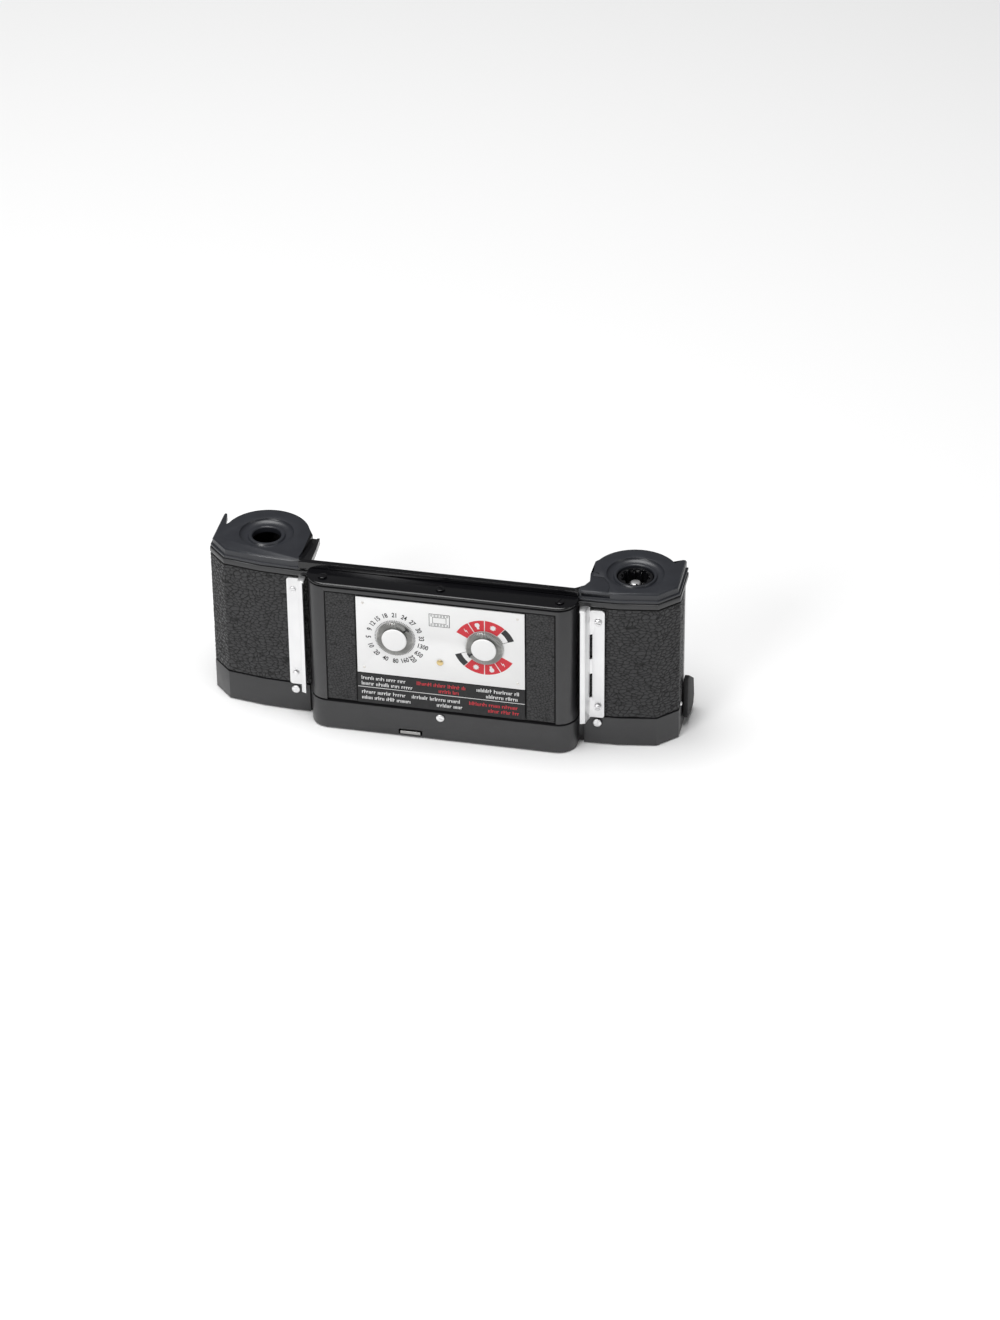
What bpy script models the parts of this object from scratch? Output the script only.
"""A roll-film magazine back for a 35 mm reflex camera.

Two round towers hold the film cartridge and the take-up spool. Between them a back shell carries
a box with two reminder dials, the film gate and a sheet-steel dark slide. The parts are in metres,
+Z up. The origin is on the underside, midway between the ends, in the plane of the rear flats.
-Y is the label side and +Y is the camera side. The driving dimensions below are in millimetres.
"""

import math

import bmesh
import bpy
from mathutils import Matrix, Vector

MM = 0.001
GAP = 0.3  # between pieces that touch

# Overall
HALF_WIDTH = 75.0
BASE_HEIGHT = 10.0
SHELL_TOP = 52.6
TOP = 56.0
FRONT_Y = 31.0
FLAT_END = (46.4, 0.0)
BEND = (57.0, 0.6)
SHOULDER = (69.0, 2.5)
CORNER_Y = 8.6
FLANGE_FRONT_Y = 23.0

# Back shell and its covering
COVERING = 0.6
SHELL_WALL = 1.0
RIM_HEIGHT = 1.8

# Towers, the cartridge's on the left (-1) and the take-up spool's on the right (1)
TOWER = {-1: (-58.0, 14.6), 1: (59.8, 13.9)}
CHAMBER_R = {-1: 12.5, 1: 12.0}
TOWER_WALL = 1.0
CHAMBER_FLOOR_Z = 4.8
INNER_WALL_X = 46.2

LUG_THICKNESS = 1.5

# Top casting
LIP_Z = (52.9, 53.6)
CASTING_LOW = 53.4
CASTING_ROUND_R = 13.6
BRIDGE_Y = (0.5, 2.4)

# Label box
BOX_X = (-40.7, 44.6)
BOX_MID_X = sum(BOX_X) / 2
BOX_REAR_Y = -7.4
BOX_CORNER_R = 6.0
BOX_WALL = 1.6
BOX_Z = (10.7, 52.6)
LID_SECTION = ((0.7, 52.9), (0.7, 53.35), (-0.3, 53.4), (-0.3, 53.85), (-0.1, 54.1), (0.25, 54.2))
LID_TOP = 54.2
LID_BACK_Y = 0.2
RECESS_X = (-34.4, 38.8)
LABEL_X = (-24.3, 29.05)
LABEL_Z = (22.5, 50.5)
STRIP_Z = (11.1, 22.2)

# Reminder dials
DIAL_Z = 36.7
SPEED_DIAL_X = -12.0
TYPE_DIAL_X = 16.4
DIAL_RING_R = 6.0
DIAL_CAP_R = 4.0
DIAL_SHAFT_R = 1.3

# Film path
FILM_Y = 3.2
GATE_X = -0.3
GATE_Z = 31.0
GATE_OPENING = (36.4, 24.4)
SPOOL_CORE_R = 4.0
SPROCKET_AXIS = (49.5, 7.7)
SPROCKET_R = 4.5
GEAR_MODULE = 0.65
GEAR_Z = (7.2, 8.6)
SPROCKET_TEETH = 12
IDLER_TEETH = 12
SPOOL_TEETH = 11
ROLLER_AXIS = (-49.1, 4.9)
ROLLER_R = 1.5

# Dark slide
SLIDE_THICKNESS = 0.6
SLIDE_Y = 7.5
SLIDE_Z = (0.7, 48.4)
SLIDE_HALF = 43.9
SLIDE_LEAN = 0.9
SLIDE_BEND_R = 4.2
SLIDE_DEPTH = 7.7

# Keys in the underside
KEY_R = 11.0
KEY_RECESS = (11.4, 3.8)
RING_BAR = 1.0

COLLECTION = "film_magazine_back"


def clear_scene():
    for item in list(bpy.data.objects):
        bpy.data.objects.remove(item, do_unlink=True)


def collection(name):
    group = bpy.data.collections.new(name)
    bpy.context.scene.collection.children.link(group)
    return group


clear_scene()
PARTS = collection(COLLECTION)
CUTTERS = collection("cutters")


def material(name, colour, roughness, metallic):
    made = bpy.data.materials.new(name)
    made.use_nodes = True
    shader = made.node_tree.nodes["Principled BSDF"]
    shader.inputs["Base Color"].default_value = (*colour, 1.0)
    shader.inputs["Roughness"].default_value = roughness
    shader.inputs["Metallic"].default_value = metallic
    return made


BLACK_ENAMEL = material("black_enamel", (0.03, 0.03, 0.032), 0.35, 0.0)
MATT_BLACK = material("matt_black", (0.02, 0.02, 0.022), 0.6, 0.0)
LEATHERETTE = material("leatherette", (0.03, 0.03, 0.03), 0.7, 0.0)
CHROME = material("chrome", (0.8, 0.8, 0.8), 0.15, 1.0)
NICKEL = material("nickel", (0.72, 0.7, 0.66), 0.25, 1.0)
STEEL = material("brushed_steel", (0.6, 0.6, 0.6), 0.35, 1.0)
SPRING_STEEL = material("spring_steel", (0.45, 0.45, 0.47), 0.3, 1.0)
BRASS = material("brass", (0.75, 0.6, 0.3), 0.3, 1.0)
WHITE_LABEL = material("white_label", (0.85, 0.85, 0.85), 0.4, 0.0)
FELT = material("black_felt", (0.02, 0.02, 0.02), 0.95, 0.0)


def place(name, mesh, finish, at=(0.0, 0.0, 0.0), group=PARTS):
    """A mesh in millimetres about the point `at` becomes a placed object in metres."""
    mesh.transform(Matrix.Scale(MM, 4))
    mesh.name = name
    item = bpy.data.objects.new(name, mesh)
    item.location = Vector(at) * MM
    if finish:
        mesh.materials.append(finish)
    group.objects.link(item)
    if group is CUTTERS:
        item.display_type = "WIRE"
        item.hide_render = True
    return item


def arc(centre, radius, start, end, steps):
    """Points along an arc, with angles in degrees from +X."""
    angles = [math.radians(start + (end - start) * i / steps) for i in range(steps + 1)]
    return [(centre[0] + radius * math.cos(a), centre[1] + radius * math.sin(a)) for a in angles]


def mirrored(points):
    return [(-x, y) for x, y in reversed(points)]


def offset_path(points, distance):
    """The open path moved sideways to its left, with mitred corners."""
    ways = [(Vector(b) - Vector(a)).normalized() for a, b in zip(points, points[1:])]
    sides = [Vector((-way.y, way.x)) for way in ways]
    moved = []
    for i, point in enumerate(points):
        before = sides[max(i - 1, 0)]
        after = sides[min(i, len(sides) - 1)]
        mitre = (before + after).normalized()
        moved.append(tuple(Vector(point) + mitre * (distance / mitre.dot(after))))
    return moved


def plate(name, points, low, high, finish, at=(0.0, 0.0), group=PARTS):
    """A flat outline in X and Y, filled and extruded from `low` to `high` in Z."""
    curve = bpy.data.curves.new(name, "CURVE")
    curve.dimensions = "2D"
    curve.fill_mode = "BOTH"
    curve.extrude = (high - low) / 2
    spline = curve.splines.new("POLY")
    spline.points.add(len(points) - 1)
    for spot, (x, y) in zip(spline.points, points):
        spot.co = (x - at[0], y - at[1], 0.0, 1.0)
    spline.use_cyclic_u = True
    outline = bpy.data.objects.new(name + "_outline", curve)
    bpy.context.scene.collection.objects.link(outline)
    graph = bpy.context.evaluated_depsgraph_get()
    mesh = bpy.data.meshes.new_from_object(outline.evaluated_get(graph))
    bpy.data.objects.remove(outline, do_unlink=True)
    solid = bmesh.new()
    solid.from_mesh(mesh)
    bmesh.ops.remove_doubles(solid, verts=solid.verts, dist=0.001)
    bmesh.ops.dissolve_limit(solid, angle_limit=0.01, verts=solid.verts, edges=solid.edges)
    bmesh.ops.recalc_face_normals(solid, faces=solid.faces)
    solid.to_mesh(mesh)
    solid.free()
    return place(name, mesh, finish, (at[0], at[1], (low + high) / 2), group)


def facing(item, turn):
    """Turns a plate, made in X and Y, to stand in another plane."""
    item.rotation_euler = turn
    return item


def upright_plate(name, points, front_y, rear_y, finish, group=PARTS):
    """An outline in X and Z, extruded in Y between two planes."""
    item = plate(name, points, -(rear_y - front_y) / 2, (rear_y - front_y) / 2, finish, group=group)
    item.location = Vector((0.0, (front_y + rear_y) / 2, 0.0)) * MM
    return facing(item, (math.pi / 2, 0.0, 0.0))


def stacked(name, rings, finish, group=PARTS):
    """A solid through outlines at rising heights. Each ring is (points, z), with as many points."""
    solid = bmesh.new()
    loops = [[solid.verts.new((x, y, z)) for x, y in points] for points, z in rings]
    caps = [solid.faces.new(loops[0][::-1]), solid.faces.new(loops[-1])]
    for low, high in zip(loops, loops[1:]):
        for i, vert in enumerate(low):
            after = (i + 1) % len(low)
            solid.faces.new((vert, low[after], high[after], high[i]))
    bmesh.ops.triangulate(solid, faces=caps)
    mesh = bpy.data.meshes.new(name)
    solid.to_mesh(mesh)
    solid.free()
    return place(name, mesh, finish, group=group)


def strip(name, path, thickness, low, high, finish, group=PARTS):
    """A wall that stands on an open path, `thickness` across with the path in its middle."""
    sheet = bmesh.new()
    bottom = [sheet.verts.new((x, y, low)) for x, y in path]
    lower_edges = [sheet.edges.new(pair) for pair in zip(bottom, bottom[1:])]
    raised = bmesh.ops.extrude_edge_only(sheet, edges=lower_edges)["geom"]
    tops = [item for item in raised if isinstance(item, bmesh.types.BMVert)]
    bmesh.ops.translate(sheet, verts=tops, vec=(0.0, 0.0, high - low))
    mesh = bpy.data.meshes.new(name)
    sheet.to_mesh(mesh)
    sheet.free()
    item = place(name, mesh, finish, group=group)
    solidify = item.modifiers.new("thickness", "SOLIDIFY")
    solidify.thickness = thickness * MM
    solidify.offset = 0.0
    solidify.use_even_offset = True
    return item


def turned(name, profile, at, finish, steps=32, closed=False, group=PARTS):
    """A profile of (radius, height) points turned about the Z axis through `at`."""
    line = bmesh.new()
    spots = [line.verts.new((radius, 0.0, height)) for radius, height in profile]
    for pair in zip(spots, spots[1:]):
        line.edges.new(pair)
    if closed:
        line.edges.new((spots[-1], spots[0]))
    mesh = bpy.data.meshes.new(name)
    line.to_mesh(mesh)
    line.free()
    item = place(name, mesh, finish, at, group)
    screw = item.modifiers.new("turn", "SCREW")
    screw.steps = steps
    screw.render_steps = steps
    screw.use_merge_vertices = True
    screw.merge_threshold = 0.00001
    screw.use_smooth_shade = True
    return item


def ring_profile(inner, outer, low, high):
    return [(outer, high), (outer, low), (inner, low), (inner, high)]


def disc_profile(radius, low, high):
    return [(0.0, high), (radius, high), (radius, low), (0.0, low)]


def box(name, low, high, finish=None, group=CUTTERS):
    """A block between two corners."""
    block = bmesh.new()
    bmesh.ops.create_cube(block, size=1.0)
    size = [b - a for a, b in zip(low, high)]
    bmesh.ops.scale(block, vec=size, verts=block.verts)
    mesh = bpy.data.meshes.new(name)
    block.to_mesh(mesh)
    block.free()
    middle = [(a + b) / 2 for a, b in zip(low, high)]
    return place(name, mesh, finish, middle, group)


def joined(item, other, operation):
    boolean = item.modifiers.new(f"{operation.lower()}_{other.name}", "BOOLEAN")
    boolean.operation = operation
    boolean.solver = "EXACT"
    boolean.object = other
    return item


def cut(item, *tools):
    for tool in tools:
        joined(item, tool, "DIFFERENCE")
    return item


def add(item, *tools):
    for tool in tools:
        joined(item, tool, "UNION")
    return item


def ride(parent_name, at, *items):
    """Puts moving pieces on an empty at their joint's axis, keeping them where they are."""
    pivot = bpy.data.objects.new(parent_name + "_axis", None)
    pivot.location = Vector(at) * MM
    PARTS.objects.link(pivot)
    for item in items:
        item.parent = pivot
        item.location = item.location - pivot.location
    return pivot


# ---------------------------------------------------------------- outlines

RIGHT_REAR = [FLAT_END, BEND, SHOULDER, (HALF_WIDTH, CORNER_Y)]
SHELL_PATH = (
    [(-HALF_WIDTH, FLANGE_FRONT_Y)]
    + mirrored(RIGHT_REAR)
    + RIGHT_REAR
    + [(HALF_WIDTH, FLANGE_FRONT_Y)]
)


def box_bump(inset, x_range=BOX_X):
    """The label box's rear outline, from its left side round to its right side."""
    left = x_range[0] + inset
    right = x_range[1] - inset
    rear = BOX_REAR_Y + inset
    radius = BOX_CORNER_R - inset
    return arc((left + radius, rear + radius), radius, 180, 270, 6) + arc(
        (right - radius, rear + radius), radius, 270, 360, 6
    )


# ---------------------------------------------------------------- fixed structure

def back_shell():
    wall_line = offset_path(SHELL_PATH, COVERING + 0.3 + SHELL_WALL / 2)
    shell = strip("back_shell", wall_line, SHELL_WALL, BASE_HEIGHT + GAP, SHELL_TOP - 0.5, BLACK_ENAMEL)
    rim_wall = COVERING + 0.3 + SHELL_WALL / 2
    rim = strip("shell_rim", offset_path(SHELL_PATH, rim_wall / 2), rim_wall,
                SHELL_TOP - RIM_HEIGHT, SHELL_TOP, None, CUTTERS)
    window = box("plate_window", (-31.0, -1.0, 13.5), (33.0, 4.0, 49.2))
    return cut(add(shell, rim), window)


def coverings():
    """The leatherette on each end, stopping at the label box."""
    for side, name in ((-1, "leatherette_left"), (1, "leatherette_right")):
        inner_end = -BOX_X[0] + 0.4 if side < 0 else BOX_X[1] + 0.4
        path = [(inner_end, 0.0)] + RIGHT_REAR + [(HALF_WIDTH, 16.0)]
        if side < 0:
            path = mirrored(path)
        strip(name, offset_path(path, COVERING / 2), COVERING, BASE_HEIGHT + GAP,
              SHELL_TOP - RIM_HEIGHT - GAP, LEATHERETTE)


def base_casting():
    """The one-piece bottom: deep ends under the towers and a thin floor between them."""
    right_end = RIGHT_REAR + [(HALF_WIDTH, 24.5), (69.5, FRONT_Y)]
    left_groove = [(BOX_X[0] - 1.2, 0.0), (BOX_X[0] - 1.1, 1.0), (BOX_X[0], 0.9)]
    right_groove = [(BOX_X[1], 1.2), (46.3, 1.3)]
    outline = mirrored(right_end) + left_groove + box_bump(0.0) + right_groove + right_end
    base = plate("base_casting", outline, 0.0, BASE_HEIGHT, BLACK_ENAMEL)
    cut(base, box("floor_space", (-45.7, 2.6, 3.0), (45.0, 40.0, 20.0)))
    for side, centre in TOWER.items():
        at = (*centre, 0.0)
        pocket = turned(f"chamber_pocket_{side}", disc_profile(CHAMBER_R[side] + 0.1, CHAMBER_FLOOR_Z, 12.0),
                        at, None, 48, group=CUTTERS)
        recess = turned(f"key_recess_{side}", disc_profile(KEY_RECESS[0], -1.0, KEY_RECESS[1]),
                        at, None, 40, group=CUTTERS)
        cut(base, pocket, recess)
    gear_pocket = turned("gear_pocket", disc_profile(4.85, 6.8, 12.0), (*SPROCKET_AXIS, 0.0), None, 24,
                         group=CUTTERS)
    slot = strip("slide_slot", slide_path(0.5), SLIDE_THICKNESS + 0.8, -1.0, 5.0, None, CUTTERS)
    catch_recess = box("catch_recess", (-11.6, -9.0, 0.5), (-4.0, -5.0, 2.4))
    return cut(base, gear_pocket, slot, catch_recess)


def label_box():
    outline = [(BOX_X[0], -GAP)] + box_bump(0.0) + [(BOX_X[1], -GAP)]
    cover = strip("box_cover", offset_path(outline, BOX_WALL / 2), BOX_WALL, *BOX_Z, BLACK_ENAMEL)
    recess = box("label_recess", (RECESS_X[0], BOX_REAR_Y - 1.0, 5.0), (RECESS_X[1], BOX_REAR_Y + 0.7, 51.4))
    cut(cover, recess)
    for name, x in (("speed", SPEED_DIAL_X), ("type", TYPE_DIAL_X)):
        cut(cover, dial_hole(name + "_cover_hole", x, 1.7))
    rings = []
    for inset, z in LID_SECTION:
        ends = [(BOX_X[0] + inset, LID_BACK_Y), (BOX_X[1] - inset, LID_BACK_Y)]
        rings.append((ends[:1] + box_bump(inset) + ends[1:], z))
    stacked("box_lid", rings, BLACK_ENAMEL)


def dial_hole(name, x, radius):
    hole = turned(name, disc_profile(radius, -3.0, 5.0), (x, BOX_REAR_Y, DIAL_Z), None, 20, group=CUTTERS)
    return facing(hole, (math.pi / 2, 0.0, 0.0))


def rectangle(x_range, z_range):
    return [(x_range[0], z_range[0]), (x_range[1], z_range[0]), (x_range[1], z_range[1]), (x_range[0], z_range[1])]


def label_pieces():
    face_y = BOX_REAR_Y - 0.05
    back_y = BOX_REAR_Y + 0.4
    plate_z = (STRIP_Z[0], 51.1)
    upright_plate("leatherette_strip_left", rectangle((RECESS_X[0] + 0.2, LABEL_X[0] - 0.3), plate_z),
                  face_y, back_y, LEATHERETTE)
    upright_plate("leatherette_strip_right", rectangle((LABEL_X[1] + 0.3, RECESS_X[1] - 0.2), plate_z),
                  face_y, back_y, LEATHERETTE)
    label = upright_plate("label_plate", rectangle(LABEL_X, LABEL_Z), face_y, back_y, WHITE_LABEL)
    for name, x in (("speed", SPEED_DIAL_X), ("type", TYPE_DIAL_X)):
        cut(label, dial_hole(name + "_label_hole", x, 1.7))
    upright_plate("instruction_strip", rectangle(LABEL_X, STRIP_Z), face_y, back_y, MATT_BLACK)
    rivet = turned("label_rivet", [(0.0, 0.35), (0.6, 0.3), (1.1, 0.0), (0.0, 0.0)],
                   (2.2, face_y - GAP, 29.4), BRASS, 16)
    facing(rivet, (math.pi / 2, 0.0, 0.0))


def plate_end_cutter(name, outer_x, inner_x, edge, beyond, radius=0.9):
    """Ends the rail's flat plate at height `edge`, with its outer corner rounded."""
    inward = math.copysign(1.0, inner_x - outer_x)
    upward = math.copysign(1.0, beyond - edge)
    outline = [(outer_x - inward, beyond), (outer_x - inward, edge - upward * radius)]
    for x, z in arc((radius, -radius), radius, 180, 90, 8):
        outline.append((outer_x + inward * x, edge + upward * z))
    outline += [(inner_x, edge), (inner_x, beyond)]
    return upright_plate(name, outline, -1.3, 0.2, None, CUTTERS)


def rails():
    """The two chrome guides for the dark slide when it is stored over the label."""
    face = -GAP - 0.3
    left = [(-48.0, face), (-44.2, face), (-43.5, -1.2), (-43.1, -4.2), (-41.8, -4.7)]
    left_tab = [(-43.5, -1.4), (-43.3, -4.9), (-41.5, -4.9), (-41.5, -1.9)]
    right = [(52.9, face), (48.9, face), (48.0, -1.2), (47.3, -4.2), (45.9, -4.7)]
    right_tab = [(45.4, -1.9), (45.8, -4.9), (47.3, -4.9), (47.9, -1.3)]
    for name, path, tab in (("rail_left", left, left_tab), ("rail_right", right, right_tab)):
        rail = strip(name, path, 0.6, 10.2, 51.9, CHROME)
        for end, (edge, beyond) in {"top": (50.4, 54.0), "bottom": (10.6, 9.0)}.items():
            cut(rail, plate_end_cutter(f"{name}_{end}", path[0][0], path[2][0], edge, beyond))
        add(rail, plate(name + "_tab", tab, 51.6, 52.2, None, group=CUTTERS))
    for number, (low, high) in enumerate(((32.5, 41.6), (18.1, 27.0))):
        cut(rail, box(f"rail_slot_{number}", (48.3, -3.0, low), (49.1, 1.0, high)))


def screw(name, at, radius, height, finish, turn):
    """A slotted head. Its shank is left out, because it is buried in the piece below."""
    head = turned(name, [(0.0, height), (radius * 0.75, height), (radius, height * 0.45), (radius, 0.0), (0.0, 0.0)],
                  at, finish, 16)
    facing(head, turn)
    slot = box(name + "_slot", (-radius - 0.2, -0.18, height * 0.45), (radius + 0.2, 0.18, height + 0.5))
    slot.location = head.location
    lift = Vector((0.0, 0.0, height * 0.95 / 2 + 0.225 + height * 0.25)) * MM
    rotation = head.rotation_euler.to_matrix()
    slot.location = head.location + rotation @ lift
    slot.rotation_euler = head.rotation_euler
    return cut(head, slot)


def screws():
    rearward = (math.pi / 2, 0.0, 0.0)
    plate_face = -GAP - 0.6 - GAP
    for z, place_name in ((46.3, "top"), (14.6, "bottom")):
        screw(f"rail_screw_left_{place_name}", (-46.1, plate_face, z), 0.95, 0.35, CHROME, rearward)
        screw(f"rail_screw_right_{place_name}", (50.9, plate_face, z), 1.15, 0.7, CHROME, rearward)
    screw("base_screw_left", (-46.4, -GAP, 8.2), 1.4, 0.6, CHROME, rearward)
    screw("base_screw_right", (50.6, -GAP, 8.2), 1.4, 0.6, CHROME, rearward)
    screw("centre_screw", (BOX_MID_X, BOX_REAR_Y - GAP, 8.4), 1.3, 0.45, CHROME, rearward)
    for x, place_name in ((-35.5, "left"), (BOX_MID_X, "middle"), (39.5, "right")):
        screw(f"lid_screw_{place_name}", (x, -4.1, LID_TOP + GAP), 1.4, 0.4, BLACK_ENAMEL, (0.0, 0.0, 0.0))


def rear_line(inset, end_y):
    """The right end's rear and side, from the label box to `end_y`, moved inward."""
    return offset_path(RIGHT_REAR + [(HALF_WIDTH, end_y)], inset)


def right_top(inset):
    """The take-up tower's top: a round front that runs into the end wall, with a boss by the bridge."""
    boss = [(46.4, 18.2), (46.9, 12.4), (48.9, 11.8), (48.8, 11.3), (46.2, 11.0), (46.8, 6.8), (45.6, 4.2)]
    wing = [(72.9, 24.2), (72.9, 19.3)]
    return (
        [(43.0, 2.2), (43.1, 1.2)] + rear_line(inset, 24.2) + wing
        + arc(TOWER[1], CASTING_ROUND_R, 24, 156, 32) + boss
    )


def left_top(inset):
    """The cartridge tower's top, with a slot beside the end wall and a straight inner edge."""
    wing = [(73.0, 23.2), (73.0, 9.9), (71.9, 9.0), (71.8, 17.2)]
    centre = (-TOWER[-1][0], TOWER[-1][1])
    outline = (
        [(43.6, 2.2), (43.7, 1.2)] + rear_line(inset, 23.2) + wing
        + arc(centre, CASTING_ROUND_R, 15, 158, 32) + [(43.4, 16.0), (44.8, 2.8)]
    )
    return mirrored(outline)


def top_frame():
    """Both tower tops and the bridge rail between them, in one casting."""
    rings = ((0.9, CASTING_LOW), (0.9, 55.5), (1.3, TOP))
    frame = stacked("top_frame", [(right_top(inset), z) for inset, z in rings], BLACK_ENAMEL)
    left = stacked("left_top", [(left_top(inset), z) for inset, z in rings], None, CUTTERS)
    bridge = box("bridge_rail", (-44.3, BRIDGE_Y[0], LIP_Z[0] + 0.05), (44.2, BRIDGE_Y[1], TOP - 0.15))
    shelf = plate("channel_shelf", [(-45.4, 2.0), (-41.7, 2.0), (-41.4, 15.9), (-44.0, 15.9)],
                  CASTING_LOW + 0.1, 54.8, None, group=CUTTERS)
    rib = strip("channel_rib", [(-40.9, 1.8), (-41.0, 9.0), (-41.3, 15.0)], 0.8, CASTING_LOW + 0.2, 55.7, None, CUTTERS)
    lip_path = [(43.7, 0.03)] + RIGHT_REAR[1:]
    right_path = lip_path + [(HALF_WIDTH, 23.9)]
    left_path = mirrored(lip_path + [(HALF_WIDTH, 22.9)])
    right_lip = strip("right_lip", offset_path(right_path, 1.1), 1.6, *LIP_Z, None, CUTTERS)
    left_lip = strip("left_lip", offset_path(left_path, 1.1), 1.6, *LIP_Z, None, CUTTERS)
    add(frame, left, bridge, shelf, rib, right_lip, left_lip)
    bores = {-1: (4.55, 5.7, 8.6), 1: (5.8, 6.6, 9.0)}
    for side, (bore, lip, recess) in bores.items():
        dish = [(recess - 2.2 + 2.2 * math.cos(a), TOP - 1.25 * math.sin(a))
                for a in [math.radians(15 * i) for i in range(7)]]
        profile = [(0.0, TOP + 1), (recess, TOP + 1)] + dish + [
            (lip + 0.3, TOP - 1.25), (lip, TOP - 0.6), (bore + 0.3, TOP - 0.6), (bore, TOP - 0.9),
            (bore, LIP_Z[0] - 1), (0.0, LIP_Z[0] - 1)]
        cut(frame, turned(f"top_recess_{side}", profile, (*TOWER[side], 0.0), None, 64, group=CUTTERS))
    seam = [(47.2, 9.8), (50.4, 9.6), (52.5, 7.0), (53.4, 4.5), (53.5, -1.0)]
    cut(frame, strip("bridge_seam", seam, 0.25, TOP - 0.25, TOP + 1, None, CUTTERS))
    return cut(frame, box("bridge_groove", (45.2, -1.0, 54.0), (54.1, 2.1, 55.2)))


def towers():
    """The round chamber walls. Each is open at the rear, where the back shell closes it."""
    right_round = arc(TOWER[1], CHAMBER_R[1] + TOWER_WALL / 2, -20, 176, 36)
    right_path = right_round + [(INNER_WALL_X, 13.9)]
    strip("tower_right", right_path, TOWER_WALL, BASE_HEIGHT + GAP, CASTING_LOW - GAP, MATT_BLACK)
    left_round = arc((-TOWER[-1][0], TOWER[-1][1]), CHAMBER_R[-1] + TOWER_WALL / 2, -20, 195, 43)
    left_path = mirrored(left_round + [(INNER_WALL_X, 4.6)])
    strip("tower_left", left_path, TOWER_WALL, BASE_HEIGHT + GAP, CASTING_LOW - GAP, MATT_BLACK)


def gate():
    frame = upright_plate("gate_frame", rectangle((-44.4, 43.2), (3.4, 52.9)), 3.7, 5.6, MATT_BLACK)
    half_w = GATE_OPENING[0] / 2
    half_h = GATE_OPENING[1] / 2
    window = box("gate_window", (GATE_X - half_w, 2.0, GATE_Z - half_h), (GATE_X + half_w, 8.0, GATE_Z + half_h))
    return cut(frame, window)


def end_lug():
    """The black lug on the right-hand end, and a rivet beside it."""
    profile = [(14.5, 3.5), (21.0, 1.0), (25.6, 1.6), (27.0, 4.4), (25.6, 11.4), (17.0, 18.0), (14.5, 18.0)]
    lug = plate("end_lug", profile, -LUG_THICKNESS / 2, LUG_THICKNESS / 2, BLACK_ENAMEL)
    lug.location = Vector((HALF_WIDTH + GAP + LUG_THICKNESS / 2, 0.0, 0.0)) * MM
    facing(lug, (math.pi / 2, 0.0, math.pi / 2))
    rivet = turned("lug_rivet", [(0.0, 0.4), (0.5, 0.35), (0.8, 0.0), (0.0, 0.0)],
                   (HALF_WIDTH + GAP, 9.9, 11.8), CHROME, 16)
    facing(rivet, (0.0, math.pi / 2, 0.0))


def small_springs():
    bow = [(-7.0, 0.0), (-3.0, 0.45), (3.0, 0.45), (7.0, 0.0), (6.9, 0.35), (3.0, 0.8), (-3.0, 0.8), (-6.9, 0.35)]
    spring = plate("cartridge_spring", bow, -2.0, 2.0, SPRING_STEEL)
    spring.location = Vector((*TOWER[-1], CHAMBER_FLOOR_Z + GAP)) * MM
    facing(spring, (math.pi / 2, 0.0, 0.0))
    box("base_seal", (-40.0, 27.6, 3.0 + GAP), (40.0, 29.4, 4.2), FELT, PARTS)


# ---------------------------------------------------------------- moving pieces

def dial(name, x):
    """A knurled ring and its white cap on a shaft through the box cover, with a friction washer."""
    at = (x, BOX_REAR_Y, DIAL_Z)
    turn = (math.pi / 2, 0.0, 0.0)
    cap_profile = [(0.0, 1.75), (DIAL_CAP_R - 0.3, 1.75), (DIAL_CAP_R, 1.5), (DIAL_CAP_R, 1.25),
                   (DIAL_SHAFT_R, 1.25), (DIAL_SHAFT_R, -3.1), (0.0, -3.1)]
    cap = facing(turned(name + "_cap", cap_profile, at, WHITE_LABEL, 28), turn)
    ring_line = [(DIAL_RING_R - 0.5, 0.95), (DIAL_RING_R, 0.7), (DIAL_RING_R, 0.35), (1.7, 0.35), (1.7, 0.95)]
    ring = facing(turned(name + "_ring", ring_line, at, NICKEL, 36, closed=True), turn)
    washer = facing(turned(name + "_washer", ring_profile(1.7, 3.2, -2.4, -2.0), at, SPRING_STEEL, 20,
                           closed=True), turn)
    ride(name, at, cap, ring, washer)


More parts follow.
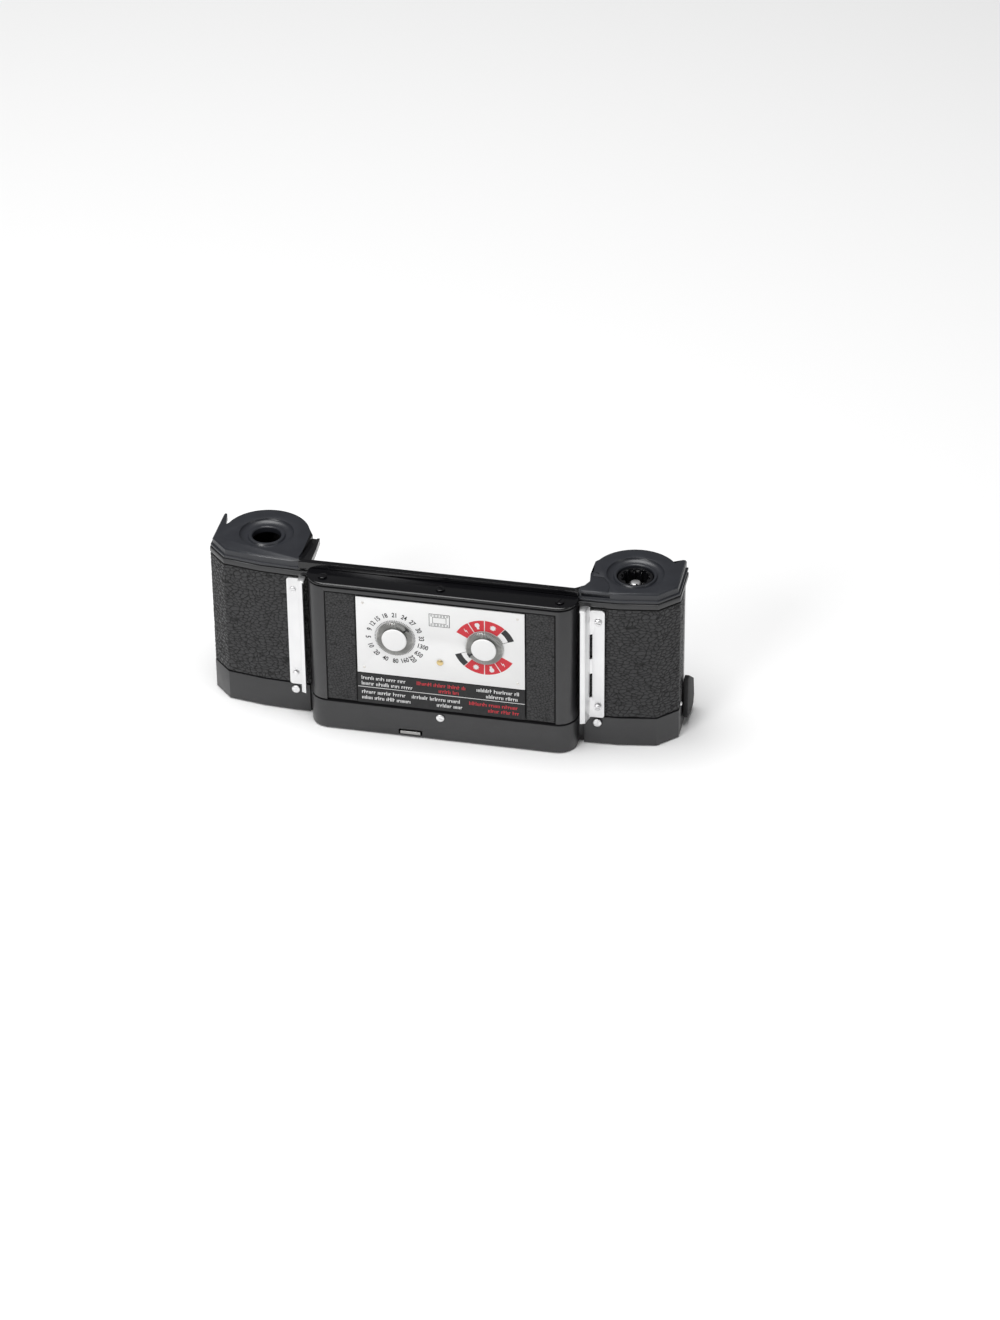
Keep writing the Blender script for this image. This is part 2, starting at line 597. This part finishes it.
def key(side, name):
    """A locking key: disc, cam above it and a folding D-ring lying in the disc's recess."""
    at = (*TOWER[side], 0.0)
    profile = [(0.0, 2.5), (KEY_R - 0.4, 2.5), (KEY_R, 2.1), (KEY_R, 0.7), (KEY_R - 0.4, 0.3),
               (8.6, 0.3), (8.6, 1.5), (0.0, 1.5)]
    disc = turned(f"key_disc_{name}", profile, at, NICKEL, 40)
    for number in range(2):
        notch = turned(f"key_notch_{name}_{number}", disc_profile(1.6, -1.0, 1.3), (0.0, 0.0, 0.0), None, 12,
                       group=CUTTERS)
        angle = math.pi * number
        notch.location = (Vector(at) + Vector((math.cos(angle), math.sin(angle), 0.0)) * (KEY_R + 0.4)) * MM
        cut(disc, notch)
    lobe = arc((0.0, 0.0), 6.5, 40, 320, 14) + arc((4.0, 0.0), 6.2, -40, 40, 5)
    cam = plate(f"lock_cam_{name}", [(at[0] + x, at[1] + y) for x, y in lobe], 2.8, 3.5, STEEL, at=at[:2])
    bar_y = at[1] + 1.0
    half_bar = RING_BAR / 2
    outer = arc((0.0, -half_bar), 7.4, 180, 360, 14) + [(7.4, half_bar), (-7.4, half_bar)]
    ring = plate(f"key_ring_{name}", [(at[0] + x, bar_y + y) for x, y in outer], 0.3, 1.1, NICKEL,
                 at=(at[0], bar_y))
    inner = arc((0.0, -half_bar), 5.8, 180, 360, 14)
    hole = plate(f"key_ring_hole_{name}", [(at[0] + x, bar_y + y) for x, y in inner], -1.0, 3.0, None,
                 group=CUTTERS)
    cut(ring, hole)
    ride(f"key_{name}", at, disc, cam)


def gear(name, teeth, at, low, high, first_tooth, bore, finish):
    """A spur gear with straight-sided teeth. `first_tooth` is the first tooth's angle in radians."""
    pitch_r = GEAR_MODULE * teeth / 2
    tip_r = pitch_r + 0.8 * GEAR_MODULE
    root_r = pitch_r - 1.1 * GEAR_MODULE
    pitch = 2 * math.pi / teeth
    outline = []
    for number in range(teeth):
        middle = first_tooth + number * pitch
        for radius, share in ((root_r, -0.29), (tip_r, -0.11), (tip_r, 0.11), (root_r, 0.29)):
            angle = middle + share * pitch
            outline.append((at[0] + radius * math.cos(angle), at[1] + radius * math.sin(angle)))
    wheel = plate(name, outline, low, high, finish, at=at)
    if bore:
        cut(wheel, turned(name + "_bore", disc_profile(bore, low - 1, high + 1), (*at, 0.0), None, 16,
                          group=CUTTERS))
    return wheel


def idler_place():
    """The idler's centre, in mesh with the sprocket's gear and the spool's gear."""
    first = Vector(SPROCKET_AXIS)
    second = Vector(TOWER[1])
    to_first = GEAR_MODULE * (SPROCKET_TEETH + IDLER_TEETH) / 2 + 0.1
    to_second = GEAR_MODULE * (SPOOL_TEETH + IDLER_TEETH) / 2 + 0.1
    span = (second - first).length
    along = (to_first**2 - to_second**2 + span**2) / (2 * span)
    aside = math.sqrt(to_first**2 - along**2)
    way = (second - first) / span
    return first + way * along + Vector((-way.y, way.x)) * aside


def angle_to(start, end):
    way = Vector(end) - Vector(start)
    return math.atan2(way.y, way.x)


def gear_train():
    """Sprocket gear, idler and spool gear, each tooth facing a gap of the next wheel."""
    idler_at = tuple(idler_place())
    spool_at = TOWER[1]
    pitch = 2 * math.pi / IDLER_TEETH
    sprocket_gear = gear("sprocket_gear", SPROCKET_TEETH, SPROCKET_AXIS, *GEAR_Z,
                         angle_to(SPROCKET_AXIS, idler_at), 1.3, BRASS)
    idler_first = angle_to(idler_at, SPROCKET_AXIS) + pitch / 2
    idler = gear("idler_gear", IDLER_TEETH, idler_at, *GEAR_Z, idler_first, 1.3, BRASS)
    turns = (angle_to(idler_at, spool_at) - idler_first) / pitch
    ahead = (round(turns) - turns) * pitch
    spool_pitch = 2 * math.pi / SPOOL_TEETH
    spool_first = angle_to(spool_at, idler_at) - ahead * IDLER_TEETH / SPOOL_TEETH + spool_pitch / 2
    spool_gear = gear("spool_gear", SPOOL_TEETH, spool_at, *GEAR_Z, spool_first, 1.3, BRASS)
    turned("idler_pin", [(0.0, 9.4), (2.0, 9.4), (2.0, 8.9), (1.0, 8.9), (1.0, 5.1), (0.0, 5.1)],
           (*idler_at, 0.0), STEEL, 16)
    return sprocket_gear, idler, spool_gear, idler_at


def film_drive():
    sprocket_gear, idler, spool_gear, idler_at = gear_train()
    spool_x, spool_y = TOWER[1]
    spool_axis = (spool_x, spool_y, 0.0)
    profile = [(0.0, 49.0), (6.2, 49.0), (6.2, 48.2), (SPOOL_CORE_R, 48.2), (SPOOL_CORE_R, 10.9),
               (6.2, 10.9), (6.2, 10.1), (1.0, 10.1), (1.0, 5.1), (0.0, 5.1)]
    spool = turned("take_up_spool", profile, spool_axis, MATT_BLACK, 28)
    cut(spool, box("film_slit", (spool_x - 6.0, spool_y - 0.5, 14.0), (spool_x + 6.0, spool_y + 0.5, 46.0)))
    spring = turned("clutch_spring", ring_profile(1.5, 3.4, 9.0, 9.7), spool_axis, SPRING_STEEL, 20, closed=True)
    splines = 12
    sleeve = plate("drive_sleeve", arc(TOWER[1], 5.4, 0, 350, 35), 49.3, 54.7, MATT_BLACK, at=spool_axis[:2])
    bore = []
    for number in range(splines):
        middle = 2 * math.pi * number / splines
        for radius, share in ((4.7, -0.3), (4.7, 0.3), (4.0, 0.38), (4.0, 0.62)):
            angle = middle + share * 2 * math.pi / splines
            bore.append((spool_x + radius * math.cos(angle), spool_y + radius * math.sin(angle)))
    cut(sleeve, plate("spline_bore", bore, 48.0, 56.0, None, group=CUTTERS))
    pin = turned("drive_pin", [(0.0, 52.9), (1.4, 52.8), (1.8, 52.4), (1.8, 49.3), (0.0, 49.3)],
                 spool_axis, CHROME, 20)
    ride("take_up", spool_axis, spool, spool_gear, spring, sleeve, pin)
    ride("idler", (*idler_at, 0.0), idler)
    sprocket_at = (*SPROCKET_AXIS, 0.0)
    shaft = [(0.0, 52.9), (1.0, 52.9), (1.0, 46.6), (SPROCKET_R, 46.6), (SPROCKET_R, 43.6), (3.2, 43.0),
             (3.2, 19.0), (SPROCKET_R, 18.4), (SPROCKET_R, 15.4), (1.0, 15.4), (1.0, 7.1), (0.0, 7.1)]
    sprocket = turned("sprocket", shaft, sprocket_at, STEEL, 24)
    for row, z in enumerate((16.9, 45.1)):
        for number in range(6):
            angle = 2 * math.pi * number / 6 + math.pi / 6
            tooth = box(f"sprocket_tooth_{row}_{number}", (-0.4, -0.7, -0.7), (1.0, 0.7, 0.7))
            reach = Vector((math.cos(angle), math.sin(angle), 0.0)) * (SPROCKET_R - 0.05)
            tooth.location = (Vector((*SPROCKET_AXIS, z)) + reach) * MM
            tooth.rotation_euler = (0.0, 0.0, angle)
            add(sprocket, tooth)
    ride("sprocket", sprocket_at, sprocket, sprocket_gear)
    roller = [(0.0, 52.7), (0.8, 52.7), (0.8, 50.0), (ROLLER_R, 50.0), (ROLLER_R, 12.0), (0.8, 12.0),
              (0.8, 10.3), (0.0, 10.3)]
    turned("film_roller", roller, (*ROLLER_AXIS, 0.0), CHROME, 20)


def pressure_plate():
    outline = rectangle((-29.6, 31.6), (15.0, 47.7))
    upright_plate("pressure_plate", outline, 1.7, 2.6, MATT_BLACK)
    bow = [(-24.0, 0.0), (-8.0, 2.4), (10.0, 2.4), (26.0, 0.0)]
    strip("pressure_spring", [(x, 1.1 - y) for x, y in bow], 0.35, 27.0, 35.0, SPRING_STEEL)


def slide_path(inset=0.0):
    """The slide's section: a flat with both ends bent forward, leaning in by a few degrees."""
    half = SLIDE_HALF
    corner = arc((half - SLIDE_BEND_R, SLIDE_Y + SLIDE_BEND_R), SLIDE_BEND_R, 270, 350, 7)
    tip = (half - SLIDE_LEAN, SLIDE_Y + SLIDE_DEPTH + inset)
    right = corner + [tip]
    return [(x + GATE_X, y) for x, y in mirrored(right) + right]


def dark_slide():
    slide = strip("dark_slide", slide_path(), SLIDE_THICKNESS, *SLIDE_Z, STEEL)
    slot = box("slide_finger_slot", (34.0, 6.0, 4.0), (34.9, 9.0, 9.0))
    return cut(slide, slot)


def base_catch():
    box("base_catch", (-11.0, -7.7, 0.9), (-4.6, -5.9, 1.9), CHROME, PARTS)


def main():
    back_shell()
    coverings()
    base_casting()
    label_box()
    label_pieces()
    rails()
    screws()
    top_frame()
    towers()
    gate()
    end_lug()
    small_springs()
    dial("speed_dial", SPEED_DIAL_X)
    dial("type_dial", TYPE_DIAL_X)
    key(-1, "left")
    key(1, "right")
    film_drive()
    pressure_plate()
    dark_slide()
    base_catch()


main()
